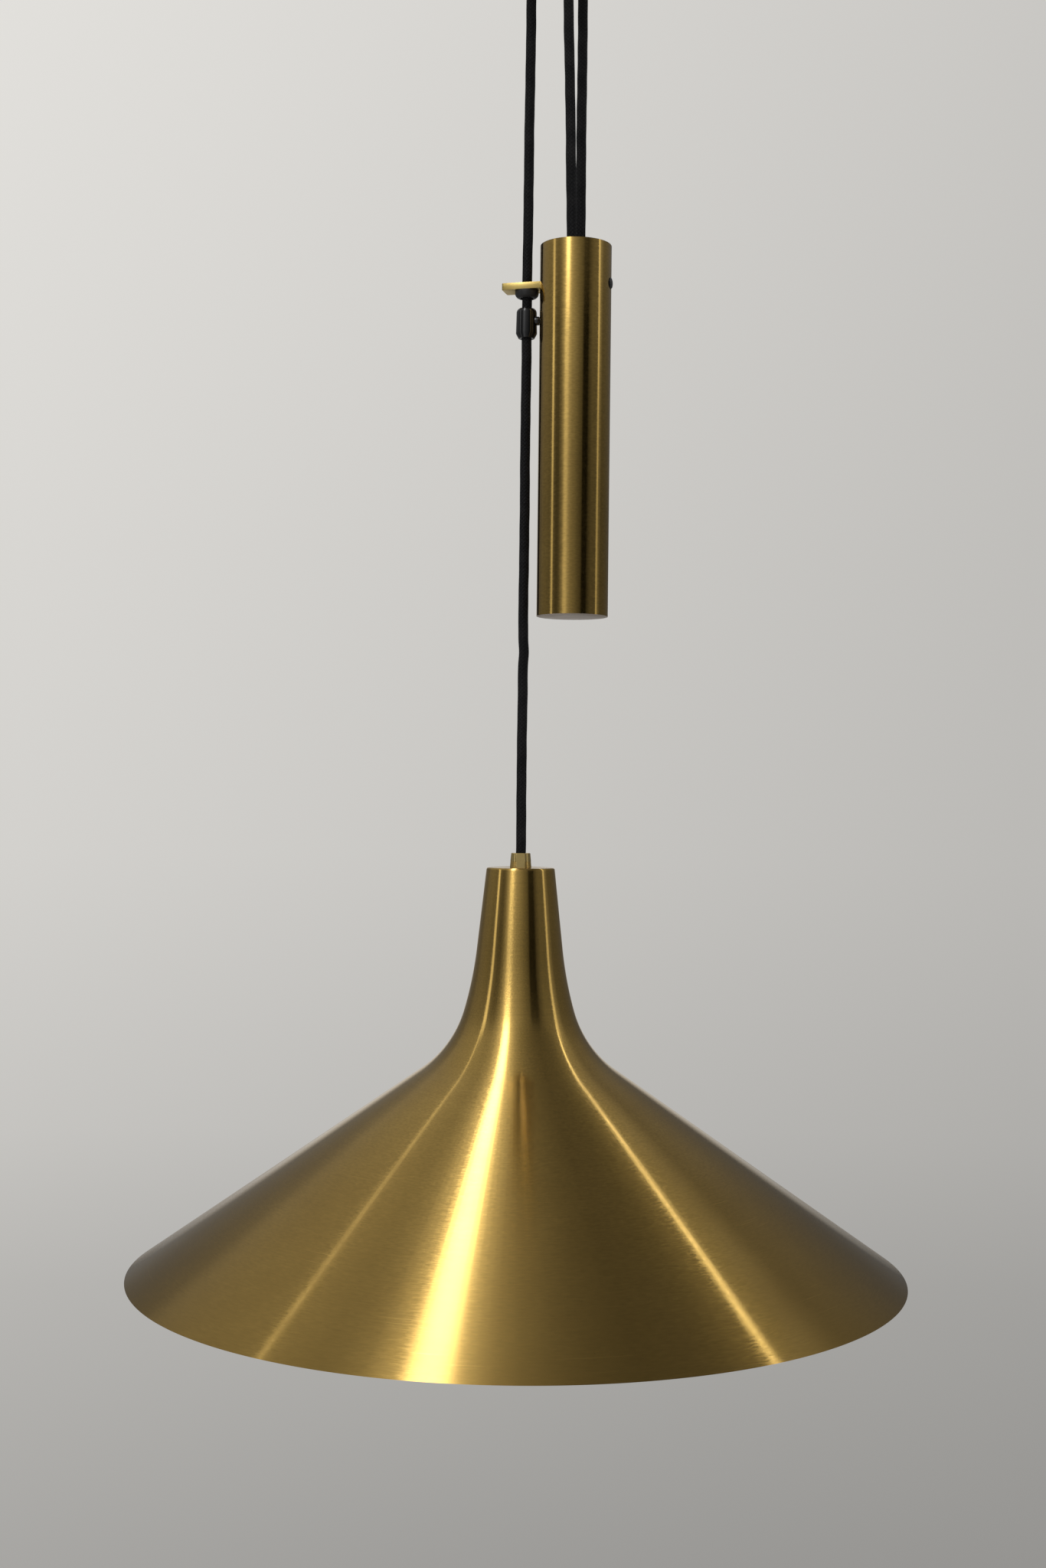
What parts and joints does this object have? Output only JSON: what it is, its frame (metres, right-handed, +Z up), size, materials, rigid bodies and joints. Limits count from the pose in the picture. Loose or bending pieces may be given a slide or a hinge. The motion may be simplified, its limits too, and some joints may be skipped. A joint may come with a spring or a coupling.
{
  "type": "rise and fall pendant lamp",
  "caption": "Rise and fall pendant: a spun brass shade on a textile cord over pulleys, balanced by a tubular counterweight with a guide arm, hung from a ceiling canopy.",
  "frame": {"origin": "centre of the ceiling plate's upper face, on the ceiling", "axes": "+Z up to the ceiling, +X along the line of the two ceiling screws, -Y towards the front view"},
  "size_m": [0.5, 0.5, 0.9163],
  "materials": {
    "shade_brass": "satin",
    "tube_brass": "satin",
    "canopy_brass": "satin",
    "turned_brass": "satin",
    "arm_brass": "satin",
    "zinc_steel": "satin",
    "plain_steel": "satin",
    "end_steel": "matte",
    "black_steel": "satin",
    "black_plastic": "gloss",
    "black_nylon": "matte",
    "white_plastic": "matte",
    "cord_textile": "matte",
    "wire_sheath": "matte",
    "porcelain": "gloss",
    "bulb_cap_metal": "satin",
    "opal_glass": "satin"
  },
  "bodies": {
    "ceiling": {"ceiling_plate": "zinc_steel", "canopy": "canopy_brass", "canopy_screws": "turned_brass", "canopy_bushings": "black_plastic", "pulley_yoke": "zinc_steel", "yoke_rivets": "zinc_steel", "ceiling_pulley_axle": "plain_steel", "axle_clip": "plain_steel", "anchor_lug": "zinc_steel", "anchor_rivets": "zinc_steel", "anchor_saddle": "black_nylon", "anchor_screws": "plain_steel", "terminal_block": "white_plastic", "terminal_screws": "turned_brass", "terminal_fixing": "plain_steel", "cord_tail": "cord_textile", "cord_anchor_strand": "cord_textile", "cord_weight_strand": "cord_textile", "cord_over_ceiling_pulley": "cord_textile", "cord_lamp_strand": "cord_textile"},
    "ceiling_pulley": {"ceiling_pulley": "black_nylon", "ceiling_pulley_bush": "turned_brass"},
    "counterweight": {"counterweight_tube": "tube_brass", "counterweight_core": "plain_steel", "counterweight_base": "end_steel", "guide_arm": "arm_brass", "guide_bushing": "black_nylon", "axle_screw": "black_steel", "pulley_spacers": "turned_brass", "cord_under_weight_pulley": "cord_textile"},
    "counterweight_pulley": {"counterweight_pulley": "black_nylon", "counterweight_pulley_bush": "turned_brass"},
    "lamp": {"cord_stop": "black_plastic", "stop_screw": "black_steel", "lamp_cord": "cord_textile", "cord_grip": "turned_brass", "grip_screw": "plain_steel", "nipple": "plain_steel", "shade": "shade_brass", "shade_washer": "plain_steel", "nipple_nut": "plain_steel", "lampholder_cap": "black_nylon", "lampholder_shell": "black_nylon", "lampholder_insert": "porcelain", "holder_screws": "turned_brass", "lampholder_sleeve": "turned_brass", "lampholder_contact": "turned_brass", "holder_wires": "wire_sheath", "bulb_cap": "bulb_cap_metal", "bulb_contact": "bulb_cap_metal", "bulb_glass": "opal_glass"}
  },
  "joints": [
    {"name": "lamp_height", "type": "slide", "parent": "ceiling", "child": "lamp", "axis": [0, 0, 1], "range_m": [-0.4, 0.004], "deforming": ["cord_lamp_strand"]},
    {"name": "counterweight_travel", "type": "slide", "parent": "ceiling", "child": "counterweight", "axis": [0, 0, 1], "range_m": [-0.002, 0.2], "deforming": ["cord_anchor_strand", "cord_weight_strand"]},
    {"name": "ceiling_pulley_spin", "type": "hinge", "parent": "ceiling", "child": "ceiling_pulley", "pos_m": [-0.00356, -0.0017, -0.0275], "axis": [0.6468, 0.7627, 0], "continuous": true},
    {"name": "counterweight_pulley_spin", "type": "hinge", "parent": "counterweight", "child": "counterweight_pulley", "pos_m": [0.01553, -0.00027, -0.2775], "axis": [-0.9673, 0.2538, 0], "continuous": true}
  ],
  "couplings": [
    {"joint": "counterweight_travel", "follows": "lamp_height", "ratio": -0.5},
    {"joint": "ceiling_pulley_spin", "follows": "lamp_height", "rad_per_m": 66.667},
    {"joint": "counterweight_pulley_spin", "follows": "lamp_height", "rad_per_m": -41.667}
  ]
}
